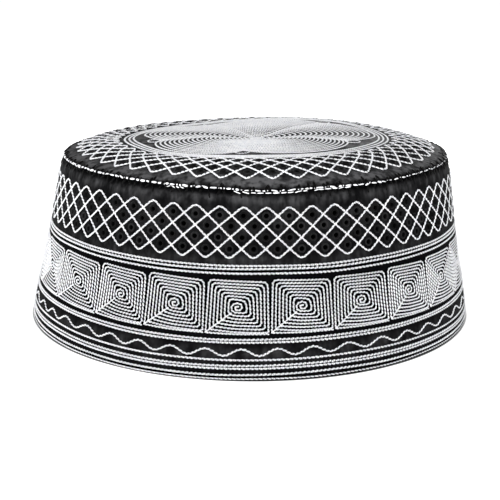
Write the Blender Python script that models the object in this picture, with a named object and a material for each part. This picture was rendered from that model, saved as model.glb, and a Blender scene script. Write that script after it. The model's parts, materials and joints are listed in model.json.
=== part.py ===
"""A kufi: a round embroidered cap with an upright band and a domed crown.

Units are metres and +Z is up. The origin is the middle of the cap on the surface
that its rim stands on, and the front of the cap faces -Y. The cap is two pieces
of stiff cloth sewn together at the top edge: the band and the crown. One row of
eyelets round each piece is cut through.
"""

from collections import namedtuple
from math import atan2, cos, hypot, pi, radians, sin

import bmesh
import bpy

# Driving dimensions of the cap
RIM_RADIUS = 0.0950
WALL_TAPER = 0.0132
SEAM_HEIGHT = 0.0680
CLOTH = 0.0025
SEAM_GAP = 0.0003

# The seam isn't level: it sinks towards the back and a little towards the right,
# and the top of the band stands a little to the right of the rim.
SEAM_FALL_BACK = 0.026
SEAM_FALL_RIGHT = 0.004
TOP_SHIFT_RIGHT = 0.00197

# Eyelets: pitch round the cap, place of the first one and radius of the hole
BAND_EYELETS = 60
BAND_EYELET_START = radians(2.5)
CROWN_EYELETS = 50
CROWN_EYELET_START = radians(0.7)
EYELET_RADIUS = 0.0010
EYELET_MARGIN = 0.0008

# Band, hem to seam: share of the seam height, and how far the shoulder stands
# outside the straight taper. The eyelet row lies between the two marked rows.
BandRow = namedtuple("BandRow", "height_share bulge")
BAND_ROWS = (
    BandRow(0.000, 0.0000),
    BandRow(0.420, 0.0000),
    BandRow(0.852, 0.0003),  # below the eyelets
    BandRow(0.909, 0.0004),  # above the eyelets
    BandRow(0.965, 0.0002),
    BandRow(1.000, -0.0001),
)
BAND_EYELET_ROWS = (2, 3)
BAND_INNER_ROWS = (5, 3, 2, 0)

# Crown, edge to middle: radius, and height of the dome above the seam
CrownRow = namedtuple("CrownRow", "radius rise")
CROWN_ROWS = (
    CrownRow(0.0817, 0.0003),
    CrownRow(0.0802, 0.0012),
    CrownRow(0.0760, 0.0031),
    CrownRow(0.0736, 0.0040),  # outside the eyelets
    CrownRow(0.0696, 0.0052),  # inside the eyelets
    CrownRow(0.0640, 0.0065),
    CrownRow(0.0525, 0.0079),
    CrownRow(0.0280, 0.0085),
    CrownRow(0.0000, 0.0086),
)
CROWN_EYELET_ROWS = (3, 4)
CROWN_UNDER_ROWS = (8, 6, 4, 3, 2)

BLACK_SATIN = (0.022, 0.022, 0.025, 1.0)
CROWN_SATIN = (0.026, 0.026, 0.030, 1.0)


def cloth_material(name, colour):
    """A dark woven satin, fairly rough."""
    material = bpy.data.materials.new(name)
    material.use_nodes = True
    shader = material.node_tree.nodes["Principled BSDF"]
    shader.inputs["Base Color"].default_value = colour
    shader.inputs["Roughness"].default_value = 0.62
    shader.inputs["Metallic"].default_value = 0.0
    return material


def spin_profile(points, start, columns):
    """Spin a profile of (radius, height) points round Z into a closed surface."""
    bm = bmesh.new()
    verts = [bm.verts.new((r * cos(start), r * sin(start), z)) for r, z in points]
    edges = [bm.edges.new(pair) for pair in zip(verts, verts[1:])]
    if points[0][0] > 0:
        edges.append(bm.edges.new((verts[-1], verts[0])))
    bmesh.ops.spin(
        bm, geom=verts + edges, cent=(0, 0, 0), axis=(0, 0, 1),
        angle=2 * pi, steps=columns, use_merge=True, use_duplicate=False,
    )
    bmesh.ops.remove_doubles(bm, verts=bm.verts[:], dist=1e-6)
    bmesh.ops.recalc_face_normals(bm, faces=bm.faces[:])
    return bm


def open_eyelet(bm, face):
    """Turn one four-sided face into a round eight-sided hole; return its rim."""
    bmesh.ops.inset_individual(bm, faces=[face], thickness=EYELET_MARGIN)
    bmesh.ops.subdivide_edges(bm, edges=face.edges[:], cuts=1)
    middle = face.calc_center_median()
    for vert in face.verts:
        away = vert.co - middle
        vert.co = middle + away.normalized() * EYELET_RADIUS
    rim = face.edges[:]
    bmesh.ops.delete(bm, geom=[face], context="FACES_ONLY")
    return rim


def pierce_row(bm, measure, low, high):
    """Cut an eyelet through every second column of the row between two limits.

    Each column has a face on either side of the cloth. Sorted by direction, the
    two lie next to each other, and the first column holds an eyelet.
    """
    row = [f for f in bm.faces if low < measure(f.calc_center_median()) < high]
    row.sort(key=lambda f: round(direction(f), 3))
    for first in range(0, len(row), 4):
        rim = open_eyelet(bm, row[first]) + open_eyelet(bm, row[first + 1])
        bmesh.ops.bridge_loops(bm, edges=rim)


def direction(face):
    """Direction of a face's middle round Z, in radians from -pi to pi."""
    middle = face.calc_center_median()
    return atan2(middle.y, middle.x)


def settle(bm):
    """Lean the straight spun shape over to the stance of the real cap."""
    for vert in bm.verts:
        x, y, z = vert.co
        share = min(z / SEAM_HEIGHT, 1.0)
        seam = SEAM_HEIGHT - SEAM_FALL_BACK * y - SEAM_FALL_RIGHT * x
        vert.co.x = x + TOP_SHIFT_RIGHT * share
        vert.co.z = share * seam + (z - share * SEAM_HEIGHT)


def finish_piece(name, bm, colour):
    """Put a finished shape into the scene as a smooth-shaded object."""
    settle(bm)
    bmesh.ops.recalc_face_normals(bm, faces=bm.faces[:])
    mesh = bpy.data.meshes.new(name)
    bm.to_mesh(mesh)
    bm.free()
    mesh.shade_smooth()
    mesh.set_sharp_from_angle(angle=radians(50))
    mesh.materials.append(cloth_material(name + "_satin", colour))
    piece = bpy.data.objects.new(name, mesh)
    bpy.context.collection.objects.link(piece)
    return piece


def make_band():
    """The side wall: up its outer side, over the top edge and down the inside."""
    top = SEAM_HEIGHT - 1.5 * SEAM_GAP

    def point(row, inwards):
        height = min(row.height_share * SEAM_HEIGHT, top)
        radius = RIM_RADIUS - WALL_TAPER * row.height_share + row.bulge - inwards
        return radius, height

    outside = [point(row, 0.0) for row in BAND_ROWS]
    inside = [point(BAND_ROWS[i], CLOTH) for i in BAND_INNER_ROWS]
    bm = spin_profile(
        outside + inside, BAND_EYELET_START - pi / (2 * BAND_EYELETS), 2 * BAND_EYELETS
    )
    low, high = (BAND_ROWS[i].height_share * SEAM_HEIGHT for i in BAND_EYELET_ROWS)
    pierce_row(bm, lambda middle: middle.z, low, high)
    return finish_piece("band", bm, BLACK_SATIN)


def make_crown():
    """The top disc: in over the dome to the middle, and back out underneath.

    Its turned edge lies flat on the top edge of the band.
    """
    seat = SEAM_HEIGHT - 0.5 * SEAM_GAP
    over = [(row.radius, SEAM_HEIGHT + row.rise) for row in reversed(CROWN_ROWS)]
    edge = [(CROWN_ROWS[0].radius, seat), (CROWN_ROWS[0].radius - CLOTH, seat)]
    under = [
        (CROWN_ROWS[i].radius, SEAM_HEIGHT + CROWN_ROWS[i].rise - CLOTH)
        for i in reversed(CROWN_UNDER_ROWS)
    ]
    bm = spin_profile(
        over + edge + under, CROWN_EYELET_START - pi / (2 * CROWN_EYELETS), 2 * CROWN_EYELETS
    )
    high, low = (CROWN_ROWS[i].radius for i in CROWN_EYELET_ROWS)
    pierce_row(bm, lambda middle: hypot(middle.x, middle.y), low, high)
    return finish_piece("crown", bm, CROWN_SATIN)


def main():
    for old in list(bpy.data.objects):
        bpy.data.objects.remove(old, do_unlink=True)
    make_band()
    make_crown()


main()
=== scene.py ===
# %% [markdown]
# # An embroidered kufi, dressed in black satin and white thread
#
# A kufi is a round cap sewn from two pieces of quilted cloth: an upright band and a
# domed crown. Nearly all of its look comes from thread, which a hooked needle draws up
# through the cloth as chains of small loops. They make the trellis, the row of spiral
# squares and the flower on top.
#
# This script puts finer cloth in place of the cap's plain solids, and then sews every
# chain, loop by loop, along routes that are drawn by formula.

# %% Load the plain cap
import json
from math import atan2, cos, pi, radians, sin, sqrt
from types import SimpleNamespace

import bmesh
import bpy
import numpy as np
from mathutils import Matrix, Vector

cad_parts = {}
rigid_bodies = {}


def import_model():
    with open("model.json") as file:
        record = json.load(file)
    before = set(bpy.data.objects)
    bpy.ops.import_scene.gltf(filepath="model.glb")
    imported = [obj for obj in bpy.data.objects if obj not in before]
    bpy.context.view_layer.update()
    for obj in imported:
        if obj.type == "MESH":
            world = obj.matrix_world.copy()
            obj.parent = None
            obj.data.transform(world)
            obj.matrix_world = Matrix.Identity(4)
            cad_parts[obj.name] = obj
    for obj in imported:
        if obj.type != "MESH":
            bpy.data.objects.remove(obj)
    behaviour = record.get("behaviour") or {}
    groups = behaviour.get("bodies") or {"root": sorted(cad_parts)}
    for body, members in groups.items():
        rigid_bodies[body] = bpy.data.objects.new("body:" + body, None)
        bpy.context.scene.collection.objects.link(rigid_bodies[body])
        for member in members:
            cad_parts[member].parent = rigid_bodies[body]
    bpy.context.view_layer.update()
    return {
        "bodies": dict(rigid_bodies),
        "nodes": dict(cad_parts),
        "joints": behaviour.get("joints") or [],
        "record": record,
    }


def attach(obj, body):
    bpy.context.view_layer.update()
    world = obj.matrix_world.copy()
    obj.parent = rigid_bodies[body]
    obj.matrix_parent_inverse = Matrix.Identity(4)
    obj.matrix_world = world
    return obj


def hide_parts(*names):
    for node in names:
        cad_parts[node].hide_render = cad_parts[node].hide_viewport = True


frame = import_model()
MM = 0.001
print("Solids:", ", ".join(frame["nodes"]))

# %% [markdown]
# ## The shape of the cap
#
# The cloth needs one exact description that the mesh and the stitches share. The band is
# a cone that leans in, with a soft shoulder under the seam, and the crown is a low dome.
# Thread could be shrunk on to a finished mesh with a modifier, but functions that turn a
# place on the flat cloth into a point in space are exact, so no thread sinks in or floats.

# %% Sizes of the cap
RIM_RADIUS = 95.0 * MM
WALL_TAPER = 13.2 * MM
SEAM_HEIGHT = 68.0 * MM
FRONT_SEAM_HEIGHT = 69.73 * MM
SEAM_FALL_BACK = 0.026
SEAM_FALL_RIGHT = 0.004
TOP_SHIFT_RIGHT = 1.97 * MM
SEAM_RADIUS = RIM_RADIUS - WALL_TAPER
CLOTH = 2.4 * MM
FLOWER_EDGE = 52.5 * MM

# How far the band bulges at a share of the seam height, and the crown rises at a radius,
# all in mm
BULGE_AT_SHARE = ((0, -0.5), (0.008, -0.1), (0.02, 0), (0.42, 0), (0.852, 0.3),
                  (0.909, 0.45), (0.965, 0.3), (0.99, -0.1), (1, -0.5))
RISE_AT_RADIUS = ((0, 6.3), (7, 6.7), (15, 7.6), (25, 8.3), (36, 8.3), (52.5, 7.9),
                  (58, 7.6), (64, 6.95), (69.6, 5.6), (73.6, 4.2), (76, 3.2), (78.5, 2.2),
                  (80.2, 1.4), (81.3, 0.6), (81.8, -0.15))
print(f"Across the rim {2 * RIM_RADIUS / MM:.1f} mm, the seam {2 * SEAM_RADIUS / MM:.1f} mm")


# %% Smooth curves
def smooth_through(pairs):
    """A smooth curve through a short table of (place, value) pairs."""
    places, values = np.array(pairs, float).T
    slopes = np.gradient(values, places)
    slopes[0] = 0.0

    def value_at(place):
        place = np.clip(place, places[0], places[-1])
        left = np.clip(np.searchsorted(places, place) - 1, 0, len(places) - 2)
        width = places[left + 1] - places[left]
        t = (place - places[left]) / width
        return (
            (1 + 2 * t) * (1 - t) ** 2 * values[left]
            + t * (1 - t) ** 2 * width * slopes[left]
            + t * t * (3 - 2 * t) * values[left + 1]
            + t * t * (t - 1) * width * slopes[left + 1]
        )

    return value_at


def round_the_cap(pairs):
    """A smooth curve through (angle from the front in degrees, value) that closes."""
    turn = len(pairs) * [(360, 0)]
    before, after = np.subtract(pairs, turn), np.add(pairs, turn)
    value_at = smooth_through(np.concatenate([before, pairs, after]))
    return lambda angle: value_at((np.degrees(angle) + 180) % 360 - 180)


def curves_of(rows):
    """A closed curve for each column of a table whose first column is the angle."""
    table = np.array(rows, float)
    return [round_the_cap(table[:, (0, column)]) for column in range(1, table.shape[1])]


shoulder_bulge = smooth_through(BULGE_AT_SHARE)
crown_rise = smooth_through(RISE_AT_RADIUS)
print(f"The crown rises {crown_rise(0.0):.1f} mm in the middle")

# %% [markdown]
# Nothing sewn by hand is quite level. Noise could shake the rows, but the eye knows
# this cap by how its own rows dip and lean. So short tables say, in mm, how far the cloth
# strays upwards at some angles, and a smooth curve fills the rest.

# %% How the band strays
STRAYS = (
    # angle, foot, hem, trellis, seam
    (-70, 0, 0.4, -0.5, 0.6),
    (-50, -0.25, 0.3, -0.4, 0.5),
    (-30, -0.35, -0.2, -0.4, 0.1),
    (-12, -0.2, -0.25, -0.75, -0.2),
    (4, 0.15, 0, -0.5, -0.65),
    (18, 0.6, 0.3, -0.7, 0.2),
    (34, 0.45, 0.1, 0, 0.45),
    (54, 0.3, -0.2, 0.4, 1.3),
    (70, 0, -0.35, 1.0, 1.3),
    (100, 0, 0, 0, 1.5),
    (120, 0, 0, 0, 1.3),
    (150, 0, 0, 0, 0.9),
    (180, 0, 0, 0, 0.4),
    (210, 0, 0, 0, -0.2),
    (240, 0, 0, 0, -0.5),
    (265, 0, 0, 0, 0),
)
# How much of each column is felt at these shares of the height
STRAY_SHARES = (0, 0.02, 0.1, 0.8, 1)
STRAY_REACHES = ((0, 1, 0, 0, 0), (0, 0.2, 1, 0, 0), (0, 0, 0, 1, 0), (0, 0, 0, 0, 1))
band_strays = curves_of(STRAYS)
seam_stray = band_strays[-1]
print(f"The seam strays {seam_stray(0.0):.2f} mm in front")


def stray(angle, share):
    """How far the cloth strays upwards at a place on the band."""
    return MM * sum(
        np.interp(share, STRAY_SHARES, reach) * curve(angle)
        for reach, curve in zip(STRAY_REACHES, band_strays)
    )


# %% How the crown strays
# The flower has sunk, most of all behind and to the left
FLOWER_STRAYS = ((-66, -0.6), (-41, -1.4), (-20, -0.8), (4, -0.15), (30, 0), (64, 0.6),
                 (90, 0.15), (112, -0.1), (132, 0.35), (160, -0.3), (190, -1.7),
                 (212, -2.5), (236, -2.3), (262, -1.5), (281, -0.6))
CROWN_STRAYS = (
    # angle, rings, trellis
    (-130, -0.4, 0),
    (-110, -0.8, -0.3),
    (-90, -1.0, -0.5),
    (-72, -0.8, -0.5),
    (-56, -0.4, -0.5),
    (-48, -0.25, -0.35),
    (-36, 0, 0),
    (-24, 0, 0.1),
    (-12, 0.1, 0.15),
    (-4, 0.1, 0.6),
    (4, 0.1, 0.75),
    (12, 0.05, 0.55),
    (24, 0, 0.4),
    (36, 0, 0.45),
    (44, -0.1, 0.25),
    (56, -0.3, 0),
    (75, -0.6, 0),
    (90, -0.6, 0),
    (110, -0.3, 0),
    (140, 0, 0),
    (200, 0, 0),
)
# How much of the rings' and the trellis's stray is felt at a radius in mm
RING_HILL = ((46, 0), (55, 1), (69, 0))
TRELLIS_HILL = ((55, 0), (69, 1), (74, 0.8), (81.8, 0))
SEAM_STRAY_FADES = 10
flower_stray = round_the_cap(FLOWER_STRAYS)
ring_stray, net_stray = curves_of(CROWN_STRAYS)
ring_hill = smooth_through(RING_HILL)
trellis_hill = smooth_through(TRELLIS_HILL)
print("The flower sinks up to", -np.min(FLOWER_STRAYS, axis=0)[1], "mm")


def crown_stray(angle, radius):
    """How far the crown strays upwards, fading out towards the seam."""
    inside = np.clip(radius / FLOWER_EDGE, 0, 1)
    outside = np.clip((SEAM_RADIUS - radius) / (SEAM_RADIUS - FLOWER_EDGE), 0, 1)
    flower = flower_stray(angle) * inside * outside ** 2 * (3 - 2 * outside)
    ring = ring_stray(angle) * ring_hill(radius / MM)
    net = net_stray(angle) * trellis_hill(radius / MM)
    seam = seam_stray(angle) * (radius / SEAM_RADIUS) ** SEAM_STRAY_FADES
    return (flower + ring + net + seam) * MM


# %% Places on the cloth
# The upper rows of the band lean sideways, by this many degrees
LEAN_FROM_SHARE = 0.72
LEAN_TO_SHARE = 0.90
lean = round_the_cap(((-66, 0.2), (-54, -0.3), (-30, 0.1), (-18, -0.3), (-6, 0.2),
                      (6, -0.2), (18, -0.5), (30, -0.4), (42, -0.9), (54, -1.0),
                      (66, -1.6), (80, -1.2), (120, 0), (180, 0), (240, 0)))


def plain_seam(x, y):
    """The seam sinks towards the back and a little towards the right."""
    return SEAM_HEIGHT - SEAM_FALL_BACK * y - SEAM_FALL_RIGHT * x


def on_band(places):
    """Points on the band at (angle from the front, share of the seam height)."""
    angle, share = places[:, 0], places[:, 1]
    high = np.clip((share - LEAN_FROM_SHARE) / (LEAN_TO_SHARE - LEAN_FROM_SHARE), 0, 1)
    angle = angle + np.radians(lean(angle)) * high
    radius = RIM_RADIUS - WALL_TAPER * share + shoulder_bulge(share) * MM
    x, y = radius * np.sin(angle), -radius * np.cos(angle)
    height = share * plain_seam(x, y) + stray(angle, share)
    return np.stack([x + TOP_SHIFT_RIGHT * share, y, height], 1)


def on_crown(places):
    """Points on the crown at (x, y) measured from its middle."""
    x, y = places[:, 0], places[:, 1]
    radius = np.hypot(x, y)
    rise = crown_rise(radius / MM) * MM + crown_stray(np.arctan2(x, -y), radius)
    return np.stack([x + TOP_SHIFT_RIGHT, y, plain_seam(x, y) + rise], 1)


def turned(polar):
    """(angle from the front, radius) as (x, y) on the crown."""
    angle, radius = np.asarray(polar, float).T
    return np.stack([radius * np.sin(angle), -radius * np.cos(angle)], 1)


def as_is(places):
    return places


def unit(vectors):
    return vectors / np.linalg.norm(vectors, axis=1, keepdims=True)


def outward(surface, places):
    """Unit normals of the cloth, from small steps along it."""
    step = 1e-5
    along = surface(places + (step, 0)) - surface(places - (step, 0))
    across = surface(places + (0, step)) - surface(places - (0, step))
    return unit(np.cross(along, across))


front = on_band(np.array([[0.0, 0.0], [0.0, 1.0]]))
print("Seam in front is", round(front[1, 2] / MM, 1), "mm high")

# %% [markdown]
# ## The trellis that the pattern hangs on
#
# The strands of a trellis zigzag between a row of peaks and a row of troughs, five half
# cells apart. A place on it is a pair: how many half cells round, and how many levels
# down from the peaks. Each strand could be drawn by itself, but one small class turns such
# a pair into a place on the cloth, so strands, eyelets and puffed cells always agree.

# %% Trellis grids
LEVELS_DOWN = 5
COLUMNS_PER_HALF = 4


class Trellis:
    """Diamond cells on a surface: how many, the first peak and the place of each level."""

    def __init__(self, surface, to_places, cells, first_peak, levels, peak_round,
                 trough_round, drift):
        self.surface, self.to_places = surface, to_places
        self.cells = cells
        self.half = pi / cells
        self.columns = 2 * cells * COLUMNS_PER_HALF
        self.first_peak = radians(first_peak)
        self.drift = round_the_cap(drift)
        self.levels = levels
        self.rounds = peak_round, trough_round

    def angle(self, halves):
        even = self.first_peak + halves * self.half
        return even + np.radians(self.drift(even))

    def eyelets(self):
        """(half cells round, level) of the middle of each cell."""
        return [
            (halves, level)
            for level in range(1, LEVELS_DOWN)
            for halves in range(2 * self.cells)
            if (halves + level) % 2
        ]

    def strands(self, samples=16):
        """The zigzags, each once round, as places on the surface."""
        halves = np.arange(2 * self.cells * samples + 1) / samples
        span = 2 * LEVELS_DOWN
        for first in range(LEVELS_DOWN):
            away = np.abs((halves - 2 * first + LEVELS_DOWN) % span - LEVELS_DOWN)
            depth = np.hypot(away, self.rounds[0])
            left = np.maximum(LEVELS_DOWN - depth, 0)
            depth = LEVELS_DOWN - np.hypot(left, self.rounds[1])
            level = np.interp(depth, range(LEVELS_DOWN + 1), self.levels)
            yield self.to_places(np.stack([self.angle(halves), level], 1))


band_trellis = Trellis(
    on_band, as_is, cells=60, first_peak=-3.0,
    levels=(0.931, 0.874, 0.819, 0.7595, 0.6985, 0.6405),
    peak_round=0.20, trough_round=0.14,
    drift=((-70, -2.0), (-54, -1.2), (-42, -0.6), (-24, -0.1), (12, 0), (42, 0.4),
           (56, -0.4), (70, -0.4), (120, 0), (180, 0), (240, 0)),
)
crown_trellis = Trellis(
    on_crown, turned, cells=50, first_peak=1.2,
    levels=(57.6 * MM, 62.3 * MM, 65.6 * MM, 69.0 * MM, 72.6 * MM, 77.0 * MM),
    peak_round=0.15, trough_round=0.12,
    drift=((-72, -0.8), (-60, -0.5), (-48, -0.2), (-39, -0.3), (-31, 0.2), (-20, 0.2),
           (-9, -0.1), (5, 0.1), (18, 0.3), (30, 0.1), (41, 0.3), (60, -0.9), (72, 0.7),
           (120, 0.4), (180, 0), (240, -0.4)),
)
print("Cells:", band_trellis.cells, "round the band,", crown_trellis.cells, "round the crown")
print("Eyelets:", len(band_trellis.eyelets()) + len(crown_trellis.eyelets()))

# %% [markdown]
# ## Black satin
#
# Satin is woven so that long floats of thread lie side by side, which gives it a soft,
# low gloss. A black base with middling roughness does most of it, with a fine weave as
# bump and slow patches of noise in its colour and roughness. Where the padding stands up,
# most of all at the shoulder and round the crown's edge, a lighter colour is painted on as
# sheen, in blotches and streaks, darkened again by painted shade in the folds by the seam,
# and an attribute of the cloth says where. A picture of satin could be laid on instead,
# but noise never repeats, and read from Object coordinates it needs no flat layout.

# %% Ways to build a finish
class Finish:
    """A new material, with short ways to add nodes and to join them."""

    def __init__(self, name):
        self.material = bpy.data.materials.new(name)
        self.material.use_nodes = True
        self.tree = self.material.node_tree
        self.shader = self.tree.nodes["Principled BSDF"]

    def fill(self, node, values):
        """Make a node's settings, in lower case, and set its sockets or join them."""
        for name, value in values.items():
            if name.islower():
                setattr(node, name, value)
                continue
            socket = node.inputs[name.replace("_", " ")]
            if isinstance(value, bpy.types.NodeSocket):
                self.tree.links.new(value, socket)
            else:
                socket.default_value = value

    def surface(self, **values):
        self.fill(self.shader, values)

    def add(self, kind, output, **values):
        """An output of a new node."""
        node = self.tree.nodes.new(kind)
        self.fill(node, values)
        return node.outputs[output]

    def attribute(self, name):
        return self.add("ShaderNodeAttribute", "Fac", attribute_name=name)

    def noise(self, place, scale, detail):
        return self.add("ShaderNodeTexNoise", "Fac", Vector=place, Scale=scale, Detail=detail)

    def ramp(self, value, stops):
        ramp = self.add("ShaderNodeValToRGB", "Color", Fac=value)
        for element, (position, colour) in zip(ramp.node.color_ramp.elements, stops):
            element.position = position
            element.color = colour
        return ramp

    def spread(self, value, low, high, lowest=0.0, highest=1.0):
        """Map a value from lowest..highest to low..high."""
        return self.add("ShaderNodeMapRange", "Result", Value=value, From_Min=lowest,
                        From_Max=highest, To_Min=low, To_Max=high)

    def product(self, first, second):
        product = self.add("ShaderNodeMath", "Value", operation="MULTIPLY", Value=first)
        self.tree.links.new(second, product.node.inputs[1])
        return product

    def blend(self, share, first, second):
        """Two colours, the second one where the share is 1."""
        mix = self.add("ShaderNodeMix", 2, data_type="RGBA", Factor=share)
        self.tree.links.new(first, mix.node.inputs[6])
        mix.node.inputs[7].default_value = second
        return mix

    def bump(self, height, strength, distance):
        self.surface(Normal=self.add("ShaderNodeBump", "Normal", Height=height,
                                     Strength=strength, Distance=distance))


# %% Satin
SATIN_DARK = (0.0004, 0.0004, 0.0005, 1)
SATIN_LIGHT = (0.0026, 0.0026, 0.0030, 1)
# The lighter colour that is painted on as sheen
SATIN_PAINTED_SHEEN = (0.080, 0.080, 0.083, 1)
# Noise: how many times in a metre, and its detail
PATCHES = 90.0, 4.0
WEAVE = 1900.0, 2.0
BLOTCHES = 210.0, 3.0
STREAKS = 520.0, 2.0
STREAK_STRETCH = 1.0, 1.0, 0.22
NOISE_RANGE = 0.36, 0.64
# Bump: its strength and its height
WEAVE_BUMP = 0.35, 0.12 * MM


def satin_finish():
    satin = Finish("black_satin")
    place = satin.add("ShaderNodeTexCoord", "Object")
    patches = satin.noise(place, *PATCHES)
    weave = satin.noise(place, *WEAVE)
    both = satin.add("ShaderNodeMix", "Result", A=patches, B=weave, Factor=0.5)
    colour = satin.ramp(both, ((0.3, SATIN_DARK), (0.75, SATIN_LIGHT)))
    blotches = satin.noise(place, *BLOTCHES)
    down = satin.add("ShaderNodeMapping", "Vector", Vector=place, Scale=STREAK_STRETCH)
    streaks = satin.noise(down, *STREAKS)
    uneven = satin.product(satin.spread(blotches, 0.30, 1.9, *NOISE_RANGE),
                           satin.spread(streaks, 0.50, 1.6, *NOISE_RANGE))
    # Painted sheen, in blotches and streaks, where the cloth's attribute asks for it
    painted_sheen = satin.product(satin.attribute("painted_sheen"), uneven)
    satin.bump(weave, *WEAVE_BUMP)
    satin.surface(Base_Color=satin.blend(painted_sheen, colour, SATIN_PAINTED_SHEEN),
                  Roughness=satin.spread(patches, 0.46, 0.66), Sheen_Weight=0.005,
                  Sheen_Roughness=0.4, Specular_IOR_Level=0.006)
    return satin.material


black_satin = satin_finish()
print("Finish:", black_satin.name)

# %% [markdown]
# ## The cloth
#
# The cloth is cut flat, as a grid whose columns and rows meet at the middle of every
# eyelet, then rolled up and welded. Taking out the vertex in the middle of an eyelet
# leaves an eight-sided face, which is pulled round and opened. Between the strands the
# padding puffs up, and beside the seam each stitch gathers the cloth into a small dent.
# The solidify operator gives the sheet its thickness, and walls to the holes. A Boolean
# could cut the eyelets out of a thick wall, but it is slow and leaves slivers.

# %% Rows of the cloth
# Four rows to each level of the trellis, so that eyelets fall on a row, closer together
# at the shoulder, which bends, and further apart where the cloth is straight
ROWS_PER_LEVEL = 4


def rows_between(levels):
    """The rows of a trellis, as one rising list."""
    steps = np.arange(LEVELS_DOWN * ROWS_PER_LEVEL + 1) / ROWS_PER_LEVEL
    return np.interp(steps, range(LEVELS_DOWN + 1), sorted(levels))


band_rows = np.concatenate([
    (0, 0.004, 0.012, 0.025, 0.05),
    np.linspace(0.08, min(band_trellis.levels) - 0.03, 18),
    rows_between(band_trellis.levels),
    (0.948, 0.958, 0.968, 0.977, 0.985, 0.992, 0.997, 1),
])
crown_rows = np.concatenate([
    np.array((0, 1.5, 4, 7, 10.5)) * MM,
    np.linspace(14.0, 56.0, 15) * MM,
    rows_between(crown_trellis.levels),
    np.array((77.2, 78, 78.8, 79.5, 80.2, 80.8, 81.2, 81.5, 81.7, 81.8)) * MM,
])
print("Rows:", len(band_rows), "in the band,", len(crown_rows), "in the crown")


# %% Cut a flat sheet
def cut_cloth(trellis, rows):
    """A grid with a column every quarter of a half cell, and the place of each vertex."""
    bm = bmesh.new()
    last = len(rows) - 1
    bmesh.ops.create_grid(bm, x_segments=trellis.columns, y_segments=last, size=0.5)
    column_of = bm.verts.layers.int.new("column")
    row_of = bm.verts.layers.int.new("row")
    for vert in bm.verts:
        vert[column_of] = round((vert.co.x + 0.5) * trellis.columns)
        vert[row_of] = round((vert.co.y + 0.5) * last)
    halves = np.array([v[column_of] for v in bm.verts]) / COLUMNS_PER_HALF
    place = rows[[v[row_of] for v in bm.verts]]
    polar = np.stack([trellis.angle(halves), place], 1)
    order = np.argsort(trellis.levels)
    depth = np.interp(
        place, np.array(trellis.levels)[order], np.arange(LEVELS_DOWN + 1)[order],
        left=-1, right=-1,
    )
    return SimpleNamespace(
        bm=bm, trellis=trellis, rows=rows, column_of=column_of, row_of=row_of, place=place,
        halves=halves, depth=depth, places=trellis.to_places(polar),
    )


# %% Puffs and dents
PUFF = 0.40 * MM
FLAT_PUFF = 0.6
PUCKER = 0.60 * MM
SHORTEST_PUCKER = 0.2 * MM
# Over 1 makes more of the puckers weak
WEAK_PUCKERS = 1.5
print(f"Padding up to {PUFF / MM:.1f} mm, dents up to {PUCKER / MM:.1f} mm")


def puff(sheet):
    """How far the padding stands up between the strands, from 0 to 1."""
    rising, falling = (sheet.halves + sheet.depth) % 2, (sheet.halves - sheet.depth) % 2
    nearest = np.minimum(np.minimum(rising, 2 - rising), np.minimum(falling, 2 - falling))
    inside = (sheet.depth > 0) & (sheet.depth < LEVELS_DOWN)
    return np.where(inside, np.sqrt(np.clip(nearest, 0, 1)), FLAT_PUFF)


def puckers(sheet, distance, reaches, seed):
    """The folds that the seam's stitches pull, from 0 to 1, at a distance from it."""
    columns = sheet.trellis.columns
    draw = np.random.default_rng(seed)
    strength = draw.random(columns) ** WEAK_PUCKERS
    reach = draw.uniform(*reaches, columns) * strength
    which = (sheet.halves * COLUMNS_PER_HALF).astype(int) % columns
    near = np.clip(1 - distance / np.maximum(reach[which], SHORTEST_PUCKER), 0, 1)
    return strength[which] * near


# %% Roll, punch and thicken the sheet
EYELET_RADIUS = 1.0 * MM
EYELET_LIP = 0.18 * MM
EYELET_SIDES = 8
WELD = 0.02 * MM
# Painted shade in the folds: how much of the painted sheen a full fold takes away
FOLD_SHADE = 0.85


def punch_eyelets(sheet):
    """Open a round hole at the middle of each cell."""
    trellis, bm = sheet.trellis, sheet.bm
    row_at = [int(np.argmin(np.abs(sheet.rows - level))) for level in trellis.levels]
    middles = {(halves * COLUMNS_PER_HALF, row_at[level])
               for halves, level in trellis.eyelets()}
    found = [v for v in bm.verts
             if (v[sheet.column_of] % trellis.columns, v[sheet.row_of]) in middles]
    bmesh.ops.dissolve_verts(bm, verts=found)
    holes = [face for face in bm.faces if len(face.verts) == EYELET_SIDES]
    for hole in holes:
        middle = hole.calc_center_median()
        for vert in hole.verts:
            vert.co = middle + (vert.co - middle).normalized() * EYELET_RADIUS
    bmesh.ops.inset_individual(bm, faces=holes, thickness=EYELET_LIP, depth=-EYELET_LIP)
    bmesh.ops.delete(bm, geom=holes, context="FACES_ONLY")
    return len(found)


def make_up(sheet, direction, near_trellis, fold, painted_sheen):
    """Store the painted sheen, with painted shade in the folds, then roll, punch and thicken.
    """
    bm, surface = sheet.bm, sheet.trellis.surface
    height = PUFF * (puff(sheet) - 0.5) * near_trellis - PUCKER * fold
    points = surface(sheet.places) + direction * height[:, None]
    # The painted sheen, less painted shade in the folds, is kept in an attribute
    mark = bm.verts.layers.float.new("painted_sheen")
    for vert, point, value in zip(bm.verts, points, painted_sheen * (1 - FOLD_SHADE * fold)):
        vert[mark] = value
        vert.co = point
    bmesh.ops.remove_doubles(bm, verts=bm.verts[:], dist=WELD)
    eyelets = punch_eyelets(sheet)
    bmesh.ops.recalc_face_normals(bm, faces=bm.faces[:])
    bmesh.ops.solidify(bm, geom=bm.faces[:], thickness=CLOTH)
    print("Cloth made:", eyelets, "eyelets,", len(bm.faces), "faces")


def linked(name, mesh, material):
    """A smooth piece of a finished mesh, in the scene."""
    mesh.shade_smooth()
    mesh.materials.append(material)
    piece = bpy.data.objects.new(name, mesh)
    bpy.context.collection.objects.link(piece)
    return piece


def piece_from(name, bm, material):
    mesh = bpy.data.meshes.new(name)
    bm.to_mesh(mesh)
    bm.free()
    return linked(name, mesh, material)
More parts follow.
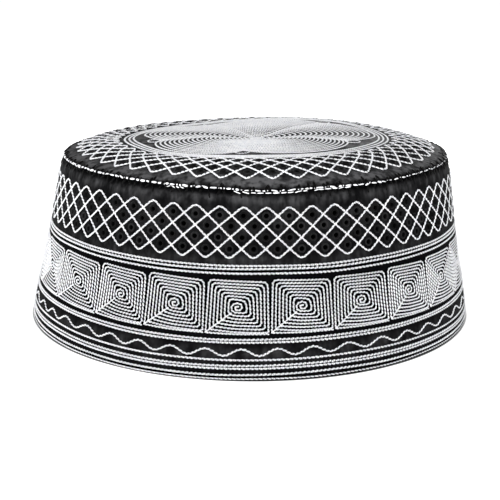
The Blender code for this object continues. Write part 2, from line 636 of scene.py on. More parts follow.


# %% Band cloth
# How much sheen is painted on the satin at a share of the height, and how far below the
# trellis its padding fades out
BAND_PAINTED_SHEEN = ((0, 0), (0.12, 0.06), (0.15, 0.12), (0.2, 0), (0.58, 0), (0.62, 0.14),
               (0.65, 0.08), (0.67, 0.03), (0.925, 0.08), (0.94, 0.16), (0.955, 0.20),
               (0.968, 0.18), (0.976, 0.08), (0.984, 0), (1, 0))
PADDING_FADES = 0.06
BAND_PUCKERS = 2.0 * MM, 9.0 * MM
BAND_SEED = 11

sheet = cut_cloth(band_trellis, band_rows)
share = sheet.place
above = share - band_trellis.levels[-1] + PADDING_FADES
near_trellis = np.clip(above / PADDING_FADES, 0, 1)
fold = puckers(sheet, (1 - share) * SEAM_HEIGHT, BAND_PUCKERS, BAND_SEED)
# How much sheen is painted on at each row
painted_sheen = np.interp(share, *np.transpose(BAND_PAINTED_SHEEN))
make_up(sheet, outward(on_band, sheet.places), near_trellis, fold, painted_sheen)
for vert in sheet.bm.verts:
    vert.co.z = 0.0 if vert[sheet.row_of] == 0 else max(vert.co.z, 0.0)
band_cloth = piece_from("band_cloth", sheet.bm, black_satin)

# %% Crown cloth
# How much sheen is painted on the satin at a radius in mm, and where the padding starts
# and how soon it is full
CROWN_PAINTED_SHEEN = ((0, 0), (49, 0.3), (52, 0.7), (57, 0.15), (74, 0.2), (76.5, 0.55),
                (79, 0.62), (80.3, 0.35), (81.2, 0), (81.8, 0))
PADDING_FROM = 52.0
PADDING_WIDENS = 4.0
CROWN_PUCKERS = 0.8 * MM, 3.5 * MM
CROWN_SEED = 12
UNDER_SEAM = 0.15 * MM

sheet = cut_cloth(crown_trellis, crown_rows)
radius, edge = sheet.place, crown_rows[-1]
near_trellis = np.clip((radius / MM - PADDING_FROM) / PADDING_WIDENS, 0, 1)
fold = puckers(sheet, edge - radius, CROWN_PUCKERS, CROWN_SEED)
# How much sheen is painted on at each row
painted_sheen = np.interp(radius / MM, *np.transpose(CROWN_PAINTED_SHEEN))
make_up(sheet, np.array((0, 0, 1)), near_trellis, fold, painted_sheen)
for vert in sheet.bm.verts:
    x, y = vert.co.x - TOP_SHIFT_RIGHT, vert.co.y
    if sqrt(x * x + y * y) > edge - CLOTH:
        sway = float(seam_stray(atan2(x, -y))) * MM
        vert.co.z = max(vert.co.z, plain_seam(x, y) + sway - UNDER_SEAM)
crown_cloth = piece_from("crown_cloth", sheet.bm, black_satin)

# %% [markdown]
# ## White thread
#
# The thread is a bright yarn of two plies that wind round each other, and the light
# catches each turn. Both could be modelled, but there are thousands of loops. So the
# twist is bump: every loop carries a UV map that runs along it and round it, and a wave
# across both draws the plies. A random tone for each loop keeps the rows from looking
# printed.

# %% Thread
TWIST_BUMP = 0.5, 0.08 * MM


def thread_finish(name, dark, light, roughness, sheen, gloss):
    thread = Finish(name)
    layout = thread.add("ShaderNodeUVMap", "UV", uv_map="thread")
    wave = thread.add("ShaderNodeTexWave", "Fac", bands_direction="DIAGONAL",
                      Vector=layout, Scale=1.0, Distortion=0.0)
    thread.bump(wave, *TWIST_BUMP)
    thread.surface(Base_Color=thread.ramp(thread.attribute("tone"), ((0, dark), (1, light))),
                   Roughness=roughness, Sheen_Weight=sheen, Specular_IOR_Level=gloss)
    return thread.material


white_thread = thread_finish(
    "white_thread", dark=(0.80, 0.81, 0.85, 1), light=(0.93, 0.93, 0.94, 1),
    roughness=0.6, sheen=0.05, gloss=0.3,
)
black_thread = thread_finish(
    "black_thread", dark=(0.0008, 0.0008, 0.0008, 1), light=(0.030, 0.030, 0.031, 1),
    roughness=0.4, sheen=0.0, gloss=0.06,
)
print("Finishes:", white_thread.name, black_thread.name)

# %% [markdown]
# ## One loop of chain stitch
#
# A chain stitch is a row of loops, each of which comes up inside the one before it and is
# caught down by the next. A curve with a bevel could draw one, but in a mesh each vertex
# can remember where it is along the thread and round it. So a small ring is spun into a
# doughnut and pulled out into a drop, narrow where it comes up. Its length and width are
# 1, so that each copy can be stretched to its stitch.

# %% A ring of thread
def wrapped(values):
    """Places round a circle for one face's corners, without a jump from 1 to 0."""
    jumps = max(values) - min(values) > 0.5
    return [value + 1 if jumps and value < 0.5 else value for value in values]


def mesh_parts(bm, turns):
    """A small mesh as arrays: its points, its faces, and UVs with so many turns of twist."""
    bm.verts.index_update()
    points = np.array([v.co for v in bm.verts])
    faces = np.array([[v.index for v in face.verts] for face in bm.faces])
    along, around = (bm.verts.layers.float[name] for name in ("along", "round"))
    layout = []
    for face in bm.faces:
        passed = wrapped([v[along] for v in face.verts])
        turned_by = wrapped([v[around] for v in face.verts])
        layout += [(turns * place, side) for place, side in zip(passed, turned_by)]
    bm.free()
    return points, faces, np.array(layout)


def thread_ring(sides, section, thick):
    """A doughnut of thread round Z with radius 0.5, and where each vertex is on it."""
    middle = 0.5 - thick / 2
    bm = bmesh.new()
    along = bm.verts.layers.float.new("along")
    around = bm.verts.layers.float.new("round")
    bmesh.ops.create_circle(
        bm, segments=section, radius=thick / 2,
        matrix=Matrix.Translation((middle, 0, 0)) @ Matrix.Rotation(pi / 2, 4, "X"),
    )
    bmesh.ops.spin(
        bm, geom=bm.verts[:] + bm.edges[:], cent=(0, 0, 0), axis=(0, 0, 1),
        angle=2 * pi, steps=sides, use_merge=True,
    )
    bmesh.ops.recalc_face_normals(bm, faces=bm.faces[:])
    for vert in bm.verts:
        out = Vector(vert.co.xy).length - middle
        vert[along] = atan2(vert.co.y, vert.co.x) / (2 * pi) % 1.0
        vert[around] = atan2(vert.co.z, out) / (2 * pi) % 1.0
    return bm


# %% Chain loop
THREAD_SHARE = 0.40
LOOP_OVERLAP = 0.20
LOOP_START_WIDTH = 0.60
LOOP_START_RAISED = 0.16


def chain_loop(sides, section):
    """A drop-shaped loop: x runs along the stitch, y across it and z off the cloth."""
    bm = thread_ring(sides, section, THREAD_SHARE)
    for vert in bm.verts:
        forward = vert.co.x + 0.5
        vert.co.y *= LOOP_START_WIDTH + (1 - LOOP_START_WIDTH) * forward
        vert.co.z += LOOP_START_RAISED * (1 - forward)
        vert.co.x *= 1 + LOOP_OVERLAP
    return mesh_parts(bm, turns=6)


FINE_LOOP = chain_loop(sides=8, section=3)
PLAIN_LOOP = chain_loop(sides=6, section=3)
print("Loop faces:", len(FINE_LOOP[1]), "fine,", len(PLAIN_LOOP[1]), "plain")

# %% [markdown]
# ## Sewing along a route
#
# A route is a line on the flat cloth. It is measured in space and divided into stitches
# of equal length, and each gets a frame that points forward along the line and up off the
# cloth. Loops could be copied one by one as objects, but arrays put thousands into one
# mesh at once. A slight turn of every loop gives the rows the slant of twisted cord.

# %% Stitches
random = np.random.default_rng(7)
LIFT = 0.12 * MM
SLANT_VARIES = 0.05
SIZE_VARIES = 0.04


def stitches(surface, route, length, width, lift=LIFT, slant=0.0, height=1.0, stretch=1.0):
    """Frames for loops along a route: their middles and their three scaled axes."""
    route = np.asarray(route, float)
    points = surface(route)
    steps = np.linalg.norm(np.diff(points, axis=0), axis=1)
    passed = np.concatenate([[0.0], np.cumsum(steps)])
    count = max(1, round(passed[-1] / length))
    marks = np.linspace(0, passed[-1], count + 1)
    places = np.stack([np.interp(marks, passed, axis) for axis in route.T], 1)
    knots = surface(places)
    forward = np.diff(knots, axis=0)
    reach = np.linalg.norm(forward, axis=1, keepdims=True)
    forward /= np.maximum(reach, 1e-9)
    middles = (places[1:] + places[:-1]) / 2
    up = outward(surface, middles)
    side = unit(np.cross(up, forward))
    up = np.cross(forward, side)
    turn = slant + random.normal(0, SLANT_VARIES, (count, 1))
    ahead = forward * np.cos(turn) + side * np.sin(turn)
    beside = side * np.cos(turn) - forward * np.sin(turn)
    size = width * random.normal(1, SIZE_VARIES, (count, 1))
    middle = (knots[1:] + knots[:-1]) / 2 + up * lift
    axes = [ahead * reach * stretch, beside * size, up * size * height]
    return np.stack([middle] + axes, axis=1)


# %% A piece of many stitches
def sewn_piece(name, frames, shape=PLAIN_LOOP, material=white_thread, lightest=1.0):
    """Copy a small shape to every frame, as one joined mesh."""
    points, faces, layout = shape
    frames = np.concatenate(frames)
    count = len(frames)
    placed = frames[:, :1] + np.einsum("pk,nkj->npj", points, frames[:, 1:])
    offsets = np.arange(count)[:, None, None] * len(points)
    mesh = bpy.data.meshes.new(name)
    mesh.from_pydata(
        placed.reshape(-1, 3).tolist(), [],
        (faces[None] + offsets).reshape(-1, faces.shape[1]).tolist(),
    )
    uv = mesh.uv_layers.new(name="thread")
    uv.data.foreach_set("uv", np.tile(layout, (count, 1)).astype(np.float32).ravel())
    tone = mesh.attributes.new("tone", "FLOAT", "POINT")
    tones = np.repeat(lightest * random.random(count), len(points)).astype(np.float32)
    tone.data.foreach_set("value", tones)
    print(f"{name}: {count} stitches, {count * len(faces) * (faces.shape[1] - 2)} triangles")
    return linked(name, mesh, material)


# %% [markdown]
# ## Lines round the band
#
# Plain lines run round the foot of the band and above and below the squares. Where two
# lie close together their loops slant opposite ways, so the pair looks plaited. A line
# could be a plain circle, but a hand guides the needle, so each one wanders a little.

# %% Lines
STITCH = 1.65 * MM
THREAD_WIDTH = 1.05 * MM
SLANT = radians(14)
ROUND = np.linspace(0, 2 * pi, 721)
# How far a line wanders in mm, and its waves: how many round the cap, and how strong
WANDER = 0.06
WANDER_WAVES = (3, 1), (7, 1), (17, 0.6)
# Heights in front, in mm. The lowest line is sewn with thinner thread.
HEM_LINES = (0.72, 2.25, 4.55, 5.65, 7.9)
BAND_LINES = (14.35, 15.4, 39.6, 41.3, 42.55)
FOOT_LINE_WIDTH = 0.75 * MM


def share_of(height):
    """A height measured in front, in mm, as a share of the seam height."""
    return height * MM / FRONT_SEAM_HEIGHT


def wander(angle, seed):
    """A slow drift up and down, in mm, that closes on itself."""
    phases = np.random.default_rng(seed).random(len(WANDER_WAVES)) * 2 * pi
    return WANDER * sum(
        strength * np.sin(count * angle + phase)
        for (count, strength), phase in zip(WANDER_WAVES, phases)
    )


def slanting(number):
    """Neighbouring rows slant opposite ways."""
    return SLANT if number % 2 else -SLANT


def sew_lines(name, heights, lowest_width=THREAD_WIDTH):
    frames = []
    for number, height in enumerate(heights):
        route = np.stack([ROUND, share_of(height + wander(ROUND, number))], 1)
        width = THREAD_WIDTH if number else lowest_width
        frames.append(stitches(on_band, route, STITCH, width, slant=slanting(number)))
    return sewn_piece(name, frames)


hem_lines = sew_lines("hem_lines", HEM_LINES, FOOT_LINE_WIDTH)
band_lines = sew_lines("band_lines", BAND_LINES)

# %% [markdown]
# ## The wavy line
#
# Above the hem a single chain swings up and down all round the cap. It could be a curve
# drawn by hand, but a cosine with a whole number of waves closes by itself. The real
# waves aren't quite even, so a short table pushes them sideways.

# %% Wave line
WAVES = 43
WAVE_CREST = radians(-2.0)
WAVE_MIDDLE = 10.7
WAVE_SWING = 1.3
WAVE_WIDTH = 0.90 * MM
WAVE_SEED = 31
ROUND_FINE = np.linspace(0, 2 * pi, WAVES * 24 + 1)
wave_drift = round_the_cap(((-66, 2.0), (-54, 0.2), (-42, 0.5), (-30, 0.2), (0, 0),
                            (20, 0.1), (32, 1.2), (45, 0.6), (66, 0.6), (120, 0),
                            (180, 0), (240, 0)))

swing = WAVE_SWING * np.cos(WAVES * (ROUND_FINE - WAVE_CREST))
height = WAVE_MIDDLE + swing + wander(ROUND_FINE, WAVE_SEED)
route = np.stack([ROUND_FINE + np.radians(wave_drift(ROUND_FINE)), share_of(height)], 1)
frames = [stitches(on_band, route, STITCH, WAVE_WIDTH, slant=SLANT)]
wave_line = sewn_piece("wave_line", frames, FINE_LOOP)

# %% [markdown]
# ## The spiral squares
#
# The widest row is a ring of squares, each one thread that winds inwards. Every round
# steps in along the lower left corner, where the threads bunch into a white diagonal.
# The squares could be traced one by one, but they share a plan. So one is drawn as a list
# of corners, the upper ones soft and the lower ones sharp, and the others are stretched
# and shifted copies.

# %% Spiral square
# Left, right, top and foot of the outermost round in mm, and their steps inwards
SQUARE_SIDES = np.array((-11.3, 11.3, 10.05, -9.25))
SQUARE_STEPS = np.array((1.345, -1.35, -1.13, 1.2))
SQUARE_ROUNDS = 7
TOP_SLOPE = 0.7
RIGHT_LEAN = 0.7
# The radius of each corner. The lower right one opens a little with every round.
START_CORNER = 0.1
LEFT_CORNER = 1.1
RIGHT_CORNER = 1.6
SHARP_CORNER = 0.35
SHARP_CORNER_OPENS = 0.12
# The foot of a round bends here: x, how far it is raised, and the radius of the bend
FOOT_BEND = -1.0, 0.25, 2.5
# The thread ends in a curl, whose radius shrinks as it turns
CURL_START, CURL_TURNS = radians(225), 1.55
CURL_RADIUS, CURL_SHRINKS = 2.6, 2.05
CURL_MIDDLE, CURL_FLAT = 0.2, 0.8


def softened(corners, bends=5):
    """A polyline whose corners (x, y, radius) are turned through short curves."""
    line = [np.array(corners[0][:2])]
    for before, corner, after in zip(corners, corners[1:], corners[2:]):
        here = np.array(corner[:2])
        back, ahead = np.array(before[:2]) - here, np.array(after[:2]) - here
        reach = min(corner[2], np.linalg.norm(back) / 2, np.linalg.norm(ahead) / 2)
        start = here + back / np.linalg.norm(back) * reach
        end = here + ahead / np.linalg.norm(ahead) * reach
        for t in np.linspace(0, 1, bends):
            line.append((1 - t) ** 2 * start + 2 * t * (1 - t) * here + t * t * end)
    line.append(np.array(corners[-1][:2]))
    return np.array(line)


def spiral_square():
    """One square in mm, from its lower left corner in to the middle."""
    bend_x, bend_up, bend_radius = FOOT_BEND
    corners = []
    for turn in range(SQUARE_ROUNDS):
        left, right, top, foot = SQUARE_SIDES + turn * SQUARE_STEPS
        corners += [(left, foot - START_CORNER, START_CORNER), (left, top, LEFT_CORNER),
                    (right, top - TOP_SLOPE, RIGHT_CORNER),
                    (right + RIGHT_LEAN, foot, SHARP_CORNER + SHARP_CORNER_OPENS * turn),
                    (bend_x, foot + bend_up, bend_radius)]
    along = np.linspace(0, 1, 32)
    angle = CURL_START - along * CURL_TURNS * 2 * pi
    radius = CURL_RADIUS - CURL_SHRINKS * along
    curl = np.stack([CURL_MIDDLE + radius * np.cos(angle),
                     CURL_FLAT * radius * np.sin(angle)], 1)
    outer = softened(corners + [(*curl[0], 0)])
    return np.concatenate([outer, curl])


square = spiral_square()
print("Points along the thread of a square:", len(square))

# %% Sew the squares
SQUARES = 23
SQUARES_ON_THE_RIGHT = 12
FIRST_GAP = radians(4.3)
SQUARE_HEIGHT = 27.3
SQUARE_STITCH = 1.45 * MM
SQUARE_WIDTH = 0.90 * MM
SQUARES_SHIFT = 0.10
# Routes in mm about the middle of a square, with their slant and lift: the square itself,
# the line that closes its foot, and the knots that cover its diagonal
SQUARE_ROUTES = (
    (square, SLANT, LIFT),
    (((-11.5, -9.4), (0, -9.7), (12.3, -9.7)), -SLANT, LIFT),
    (((-11.6, -9.5), (-2.0, -1.9)), 0.0, 0.30 * MM),
)
square_drift = round_the_cap(((-74, 0), (-58, -0.2), (-42, 1.15), (-27, 0.3), (-11, 0.15),
                              (4, 0), (20, -0.15), (36, -0.1), (51, -0.95), (67, -0.9),
                              (120, 0), (180, 0), (240, 0)))


def sew_squares(name, first, last):
    """Some of the squares, numbered from the front round to the right."""
    pitch = 2 * pi / SQUARES
    middle_radius = RIM_RADIUS - WALL_TAPER * share_of(SQUARE_HEIGHT)
    frames = []
    for number in range(first, last):
        sides = FIRST_GAP + np.array([number, number + 1]) * pitch
        sides += np.radians(square_drift(sides))
        stretch = (sides[1] - sides[0]) / pitch
        shift = random.normal(0, SQUARES_SHIFT, 2)
        for line, slant, lift in SQUARE_ROUTES:
            x, y = (line * np.array((stretch, 1)) + shift).T
            route = np.stack([sides.mean() + x * MM / middle_radius,
                              share_of(SQUARE_HEIGHT + y)], 1)
            frames.append(stitches(on_band, route, SQUARE_STITCH, SQUARE_WIDTH,
                                   lift=lift, slant=slant))
    return sewn_piece(name, frames)


squares_right = sew_squares("squares_right", 0, SQUARES_ON_THE_RIGHT)
squares_left = sew_squares("squares_left", SQUARES_ON_THE_RIGHT, SQUARES)

# %% [markdown]
# ## The trellises
#
# The strands could be woven over and under like cloth, but each chain is sewn on top of
# the last. Here the stretches that climb as they run to the right lie on top, so they are
# lifted more than the others.

# %% Trellis strands
BAND_LATTICE_WIDTH = 1.0 * MM
CROWN_LATTICE_WIDTH = 1.12 * MM
LIFT_CLIMBING = 0.16 * MM
LIFT_FALLING = -0.02 * MM


def sew_trellis(name, trellis, width):
    frames = []
    for strand in trellis.strands():
        run = stitches(trellis.surface, strand, STITCH, width, slant=SLANT / 2)
        rise = np.where(run[:, 1, 2] > 0, LIFT_CLIMBING, LIFT_FALLING)
        run[:, 0] += unit(run[:, 3]) * rise[:, None]
        frames.append(run)
    return sewn_piece(name, frames, FINE_LOOP)


band_lattice = sew_trellis("band_lattice", band_trellis, BAND_LATTICE_WIDTH)
crown_lattice = sew_trellis("crown_lattice", crown_trellis, CROWN_LATTICE_WIDTH)

# %% [markdown]
# ## Eyelet rings
#
# Each eyelet is bound with black thread, sewn over its edge all round. Every stitch could
# be a loop of its own, but a ring of thread that stands up and sinks in turn shows them
# as small ridges at far less cost.

# %% Eyelet rings
RING_WIDTH = 3.3 * MM
RING_HEIGHT = 0.8
RING_THREAD = 0.24
RING_STITCHES = 16
RIDGE, GROOVE = 1.05, 0.97


def bound_ring():
    bm = thread_ring(sides=RING_STITCHES, section=3, thick=RING_THREAD)
    along = bm.verts.layers.float["along"]
    for vert in bm.verts:
        vert.co *= RIDGE if round(vert[along] * RING_STITCHES) % 2 else GROOVE
    return mesh_parts(bm, turns=RING_STITCHES)


def ring_frames(trellis):
    """A frame of the ring's width at the middle of every cell."""
    marks = [(trellis.angle(halves), trellis.levels[level])
             for halves, level in trellis.eyelets()]
    places = trellis.to_places(np.array(marks))
    up = outward(trellis.surface, places)
    side = unit(np.cross(up, (0, 0, 1) if trellis is band_trellis else (0, 1, 0)))
    across = np.cross(up, side)
    middle = trellis.surface(places) + up * PUFF / 2
    axes = [side * RING_WIDTH, across * RING_WIDTH, up * RING_WIDTH * RING_HEIGHT]
    return np.stack([middle] + axes, axis=1)


eyelet_rings = sewn_piece("eyelet_rings",
                          [ring_frames(band_trellis), ring_frames(crown_trellis)],
                          bound_ring(), black_thread, lightest=0.6)

# %% [markdown]
# ## The crown's rings and its flower
#
# Three rings close the trellis on the inside, and in them lies a flower of five lobes.
# Its arcs could be drawn one by one, but here every lobe is a fan of smaller copies of its
# outer arc, which draw together along the valleys by themselves. A small oval loop ends
# each valley. The real one was drawn by hand, so the valleys are a short list of angles.

# %% Lines of the flower
FLOWER_RIGHT = 0.4 * MM
LOBES = (
    # angle and radius of the valley before the lobe, radius of the lobe, how boxy it is
    (-66.8, 43.0, 50.3, 4.5),
    (-7.4, 42.0, 49.0, 2.8),
    (62.8, 42.0, 51.5, 2.2),
    (138.7, 43.5, 51.0, 2.2),
    (207.4, 43.5, 48.9, 2.2),
)
# The oval loop: how far out its middle lies, and its radii outwards and sideways
SMALL_LOOP_OUT = 2.9
SMALL_LOOP_RADII = 3.1, 3.0


def in_flower(polar):
    """(angle, radius in mm) about the middle of the flower as (x, y) on the crown."""
    return turned(np.asarray(polar) * (1, MM)) + (FLOWER_RIGHT, 0)


def lobe_arc(start, end, tip, boxy, size):
    """One arc of a lobe, between two valleys, scaled about the middle of the crown."""
    across = np.linspace(-1, 1, 40)
    angle = np.interp(across, (-1, 1), (start[0], end[0]))
    valley = np.interp(across, (-1, 1), (start[1], end[1]))
    radius = tip - (tip - valley) * np.abs(across) ** boxy
    return in_flower(np.stack([angle, size * radius], 1))


def small_loop(angle, radius):
    """The oval loop at the end of a valley."""
    turn = np.linspace(-pi, pi, 25)
    outwards, sideways = SMALL_LOOP_RADII
    out = radius + SMALL_LOOP_OUT + outwards * np.cos(turn)
    return in_flower(np.stack([angle + sideways * np.sin(turn) / out, out], 1))


def spiral(turns, outer, inner):
    """A thread that winds in to the middle of the flower."""
    turn = np.linspace(0, 2 * pi * turns, 24 * turns + 1)
    return in_flower(np.stack([turn, np.linspace(outer, inner, len(turn))], 1))


# %% Sew the flower and the rings
LOBE_STEP = 0.0445
SMALLEST_ARC = 0.06
FINE_STITCH = 1.2 * MM
STEM_START = 3.0
STEM_WIDTH = 1.2 * THREAD_WIDTH
STEM_FORM = {"lift": 0.2 * MM, "height": 0.7}
SMALL_LOOP_WIDTH = 0.8 * MM
FLAT_FORM = {"lift": 0.10 * MM, "height": 0.85}
FLOWER_STRETCH = 1.1
RING_STRETCH = 1.35
CROWN_RINGS = (56.4, 54.5, 52.6)


def flat(route, width=THREAD_WIDTH, **form):
    return stitches(on_crown, route, FINE_STITCH, width, **FLAT_FORM, **form)


valleys = [(radians(lobe[0]), lobe[1]) for lobe in LOBES]
after = valleys[1:] + [(valleys[0][0] + 2 * pi, valleys[0][1])]
frames = []
for (*_, tip, boxy), start, end in zip(LOBES, valleys, after):
    for number, size in enumerate(np.arange(1.0, SMALLEST_ARC, -LOBE_STEP)):
        arc = lobe_arc(start, end, tip, boxy, size)
        frames.append(flat(arc, slant=slanting(number), stretch=FLOWER_STRETCH))
    stem = in_flower([[start[0], STEM_START], start])
    frames.append(stitches(on_crown, stem, STITCH, STEM_WIDTH, **STEM_FORM))
    frames.append(flat(small_loop(*start), SMALL_LOOP_WIDTH))
frames.append(flat(spiral(turns=3, outer=3.2, inner=0.4)))
flower = sewn_piece("flower", frames)

circles = [in_flower(np.stack([ROUND, np.full_like(ROUND, radius)], 1))
           for radius in CROWN_RINGS]
frames = [flat(circle, slant=slanting(number), stretch=RING_STRETCH)
          for number, circle in enumerate(circles)]
crown_rings = sewn_piece("crown_rings", frames)

# %% [markdown]
# ## The seam
#
# The crown is sewn to the band over the edge. White running stitches lie on the fold,
# uneven and with gaps between them, and black ones bind the two edges. Chain loops would
# look too open here, so a single stitch is a ball squashed into a grain and stretched.

# %% A straight stitch
GRAIN_BLUNT = 0.3


def grain():
    """A ball, long in x, as arrays like those of a loop."""
    bm = bmesh.new()
    bmesh.ops.create_uvsphere(
        bm, u_segments=6, v_segments=5, radius=0.5, matrix=Matrix.Rotation(pi / 2, 4, "Y")
    )
    bmesh.ops.triangulate(bm, faces=bm.faces[:])
    along = bm.verts.layers.float.new("along")
    around = bm.verts.layers.float.new("round")
    for vert in bm.verts:
        thin = max(2 * sqrt(vert.co.y ** 2 + vert.co.z ** 2), 0.01)
        vert.co.yz *= thin ** -GRAIN_BLUNT
        # Less than half a turn, which wrapped() leaves alone
        vert[along] = vert.co.x * 0.49 + 0.25
        vert[around] = atan2(vert.co.z, vert.co.y) / (2 * pi) % 1.0
    return mesh_parts(bm, turns=4)


GRAIN = grain()
print("Faces of a straight stitch:", len(GRAIN[1]))

# %% White seam stitches
SEAM_ROWS = (
    # from angle, to angle, height over the seam, width and length in mm, share left out
    (-130, -90, 0.1, 0.80, 2.8, 0),
    (-90, -60, 0.1, 1.00, 3.4, 0),
    (-60, -45, 0.3, 0.85, 2.9, 0),
    (-45, -6, 0.5, 0.72, 2.7, 0),
    (-25, -19, -0.4, 0.35, 2.0, 0.5),
    (-6, 11, 0.25, 0.44, 3.4, 0),
    (-6, 11, -0.65, 0.42, 3.0, 0.08),
    (11, 17, 0.25, 0.50, 3.2, 0),
    (11, 17, -0.55, 0.40, 2.4, 0.45),
    (17, 27, 0.20, 0.50, 3.2, 0),
    (17, 25, -0.50, 0.45, 2.6, 0.08),
    (27, 36, 0, 0.62, 2.8, 0),
    (36, 60, 0, 0.45, 4.5, 0),
    (60, 230, 0, 0.40, 3.0, 0),
)
LENGTH_VARIES = 0.75, 1.2
WIDTH_VARIES = 0.7, 1.3
SEAM_TILT = 0.0022
STITCH_FILLS = 0.86
SEAM_FORM = {"lift": 0.40 * MM, "height": 0.8}
# A length in metres that no route reaches, so that each becomes one stitch
ONE_STITCH = 1.0


def seam_row(first, last, height, width, length, skips):
    """One row of straight stitches beside the seam, uneven in length and lean."""
    angle = radians(first)
    height = 1 + height * MM / SEAM_HEIGHT
    frames = []
    while angle < radians(last):
        reach = length * MM * random.uniform(*LENGTH_VARIES) / SEAM_RADIUS
        tilt = random.normal(0, SEAM_TILT)
        thick = width * random.uniform(*WIDTH_VARIES) * MM
        if random.random() >= skips:
            route = [[angle, height - tilt], [angle + reach * STITCH_FILLS, height + tilt]]
            frames.append(stitches(on_band, route, ONE_STITCH, thick, **SEAM_FORM))
        angle += reach
    return frames


frames = [frame for row in SEAM_ROWS for frame in seam_row(*row)]
seam_stitches = sewn_piece("seam_stitches", frames, GRAIN)

# %% Black seam binding
# Slanting stitches under the seam, in pairs like a V, and short ones above it
BINDING_EVERY = radians(2.0)
BINDING_SHIFT = 0.004
BINDING_LEAN = 0.006
LEAN_VARIES = 0.002
BINDING_FOOT = 0.970
FOOT_VARIES = 0.009
BINDING_TOP = 0.996
UNDER_FORM = {"width": 0.9 * MM, "lift": 0.10 * MM}
# Over the seam a stitch runs inwards between these radii in mm, and leans further
OVER_FROM = 81.8
OVER_TO = 80.6
OVER_VARIES = 1.1
OVER_LEAN = 1.5
OVER_FORM = {"width": 1.3 * MM, "lift": 0.2 * MM}

frames = []
for number in range(round(2 * pi / BINDING_EVERY)):
    angle = number * BINDING_EVERY + random.normal(0, BINDING_SHIFT)
    tilt = (BINDING_LEAN if number % 2 else -BINDING_LEAN) + random.normal(0, LEAN_VARIES)
    foot = BINDING_FOOT + random.normal(0, FOOT_VARIES)
    route = [[angle - tilt, foot], [angle + tilt, BINDING_TOP]]
    frames.append(stitches(on_band, route, ONE_STITCH, **UNDER_FORM))
    inner = OVER_TO - abs(random.normal(0, OVER_VARIES))
    top = turned([[angle + tilt, OVER_FROM * MM], [angle + OVER_LEAN * tilt, inner * MM]])
    frames.append(stitches(on_crown, top, ONE_STITCH, **OVER_FORM))
seam_binding = sewn_piece("seam_binding", frames, GRAIN, black_thread, lightest=0.05)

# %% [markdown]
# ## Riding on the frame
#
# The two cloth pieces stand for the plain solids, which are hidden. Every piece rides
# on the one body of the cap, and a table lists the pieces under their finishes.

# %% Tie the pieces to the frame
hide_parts("band")
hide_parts("crown")
BY_SLOT = {
    "black_satin": (band_cloth, crown_cloth),
    "white_thread": (hem_lines, band_lines, wave_line, squares_right, squares_left,
                     band_lattice, crown_lattice, flower, crown_rings, seam_stitches),
    "black_thread": (eyelet_rings, seam_binding),
}
for slot, members in BY_SLOT.items():
    for piece in members:
        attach(piece, "root")
print("Pieces:", sum(len(members) for members in BY_SLOT.values()))

# %% [markdown]
# ## Floor, light and camera
#
# One strong lamp would be simple, but it would leave a side of the cap grey. So a white
# world lights it all round, a broad lamp in front shapes the wall, a weaker one stands
# behind and a large one overhead lights the crown. The floor is white and glows faintly,
# but under the cap it is dark, so that no light comes up through the eyelets, and this
# painted shadow reaches a little past the rim as a thin ring. The camera looks down from
# the front at about fifteen degrees, through a long lens.

# %% Floor
FLOOR_SIZE = 30.0
FLOOR_COLOUR = (0.90, 0.90, 0.90, 1)
# The colour of the painted shadow under the cap
FLOOR_PAINTED_SHADOW = (0.02, 0.02, 0.02, 1)
FLOOR_GLOW = 0.46
# The floor turns from a painted shadow to white between these distances from its middle,
# so the shadow shows as a thin dark ring round the foot of the cap
DARK_WITHIN, WHITE_BEYOND = 0.0950, 0.0960

bm = bmesh.new()
bmesh.ops.create_grid(bm, x_segments=1, y_segments=1, size=FLOOR_SIZE)
plain = Finish("floor_white")
place = plain.add("ShaderNodeTexCoord", "Object")
away = plain.add("ShaderNodeVectorMath", "Value", operation="LENGTH", Vector=place)
outside = plain.spread(away, 0.0, 1.0, DARK_WITHIN, WHITE_BEYOND)
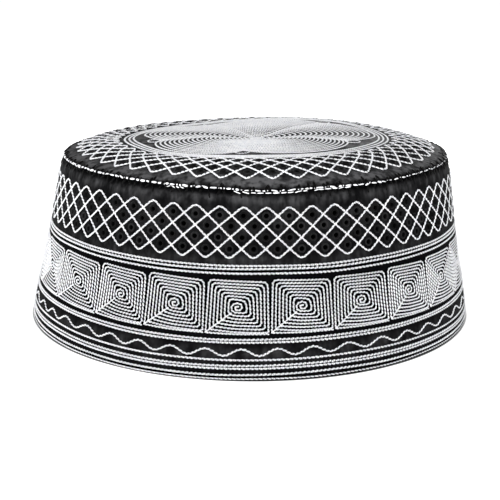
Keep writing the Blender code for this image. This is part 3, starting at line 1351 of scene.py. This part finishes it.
# Painted shadow within the rim and a little past it, white and glowing beyond
plain.surface(Base_Color=plain.ramp(outside, ((0, FLOOR_PAINTED_SHADOW), (1, FLOOR_COLOUR))),
              Emission_Strength=plain.spread(outside, 0.0, FLOOR_GLOW),
              Emission_Color=(1, 1, 1, 1), Roughness=0.9)
floor = piece_from("floor", bm, plain.material)
print("Floor:", floor.name)

# %% Lamps and world
LAMPS = (
    # name, place, aim, size, power
    ("front_lamp", (-0.10, -0.62, 0.22), (0, 0, 0.04), 0.45, 4.6),
    ("back_lamp", (0.12, 0.60, 0.16), (0, 0, 0.04), 0.45, 2.4),
    ("top_lamp", (0.0, 0.1, 1.2), (0, 0, 0.07), 0.9, 1.3),
)
WORLD_LIGHT = 0.62

for name, place, aim, size, power in LAMPS:
    data = bpy.data.lights.new(name, "AREA")
    data.shape = "DISK"
    data.size = size
    data.energy = power
    lamp = bpy.data.objects.new(name, data)
    lamp.location = place
    lamp.rotation_mode = "QUATERNION"
    lamp.rotation_quaternion = (Vector(aim) - Vector(place)).to_track_quat("-Z", "Y")
    lamp.visible_camera = False
    bpy.context.collection.objects.link(lamp)

world = bpy.data.worlds.new("white_studio")
world.use_nodes = True
background = world.node_tree.nodes["Background"]
background.inputs["Color"].default_value = (1, 1, 1, 1)
background.inputs["Strength"].default_value = WORLD_LIGHT
bpy.context.scene.world = world
bpy.context.scene.view_settings.view_transform = "Standard"
print("Lamps:", len(LAMPS))

# %% Camera
CAMERA_DISTANCE = 0.550
CAMERA_DOWN = 0.271
CAMERA_AIM = Vector((0.0, 0.0, 24.42 * MM))
CAMERA_LENS = 89.65
CAMERA_ROLL = radians(0.4)

camera_data = bpy.data.cameras.new("camera")
camera_data.lens = CAMERA_LENS
camera = bpy.data.objects.new("camera", camera_data)
view = Vector((0, cos(CAMERA_DOWN), -sin(CAMERA_DOWN)))
camera.location = CAMERA_AIM - view * CAMERA_DISTANCE
level = Matrix.Rotation(pi / 2 - CAMERA_DOWN, 3, "X")
camera.rotation_euler = (level @ Matrix.Rotation(CAMERA_ROLL, 3, "Z")).to_euler()
bpy.context.collection.objects.link(camera)
bpy.context.scene.camera = camera
print("Camera at", [round(side, 3) for side in camera.location])

# %% [markdown]
# ## Finish
#
# The last cell brings the scene up to date.

# %% Finish
bpy.context.view_layer.update()
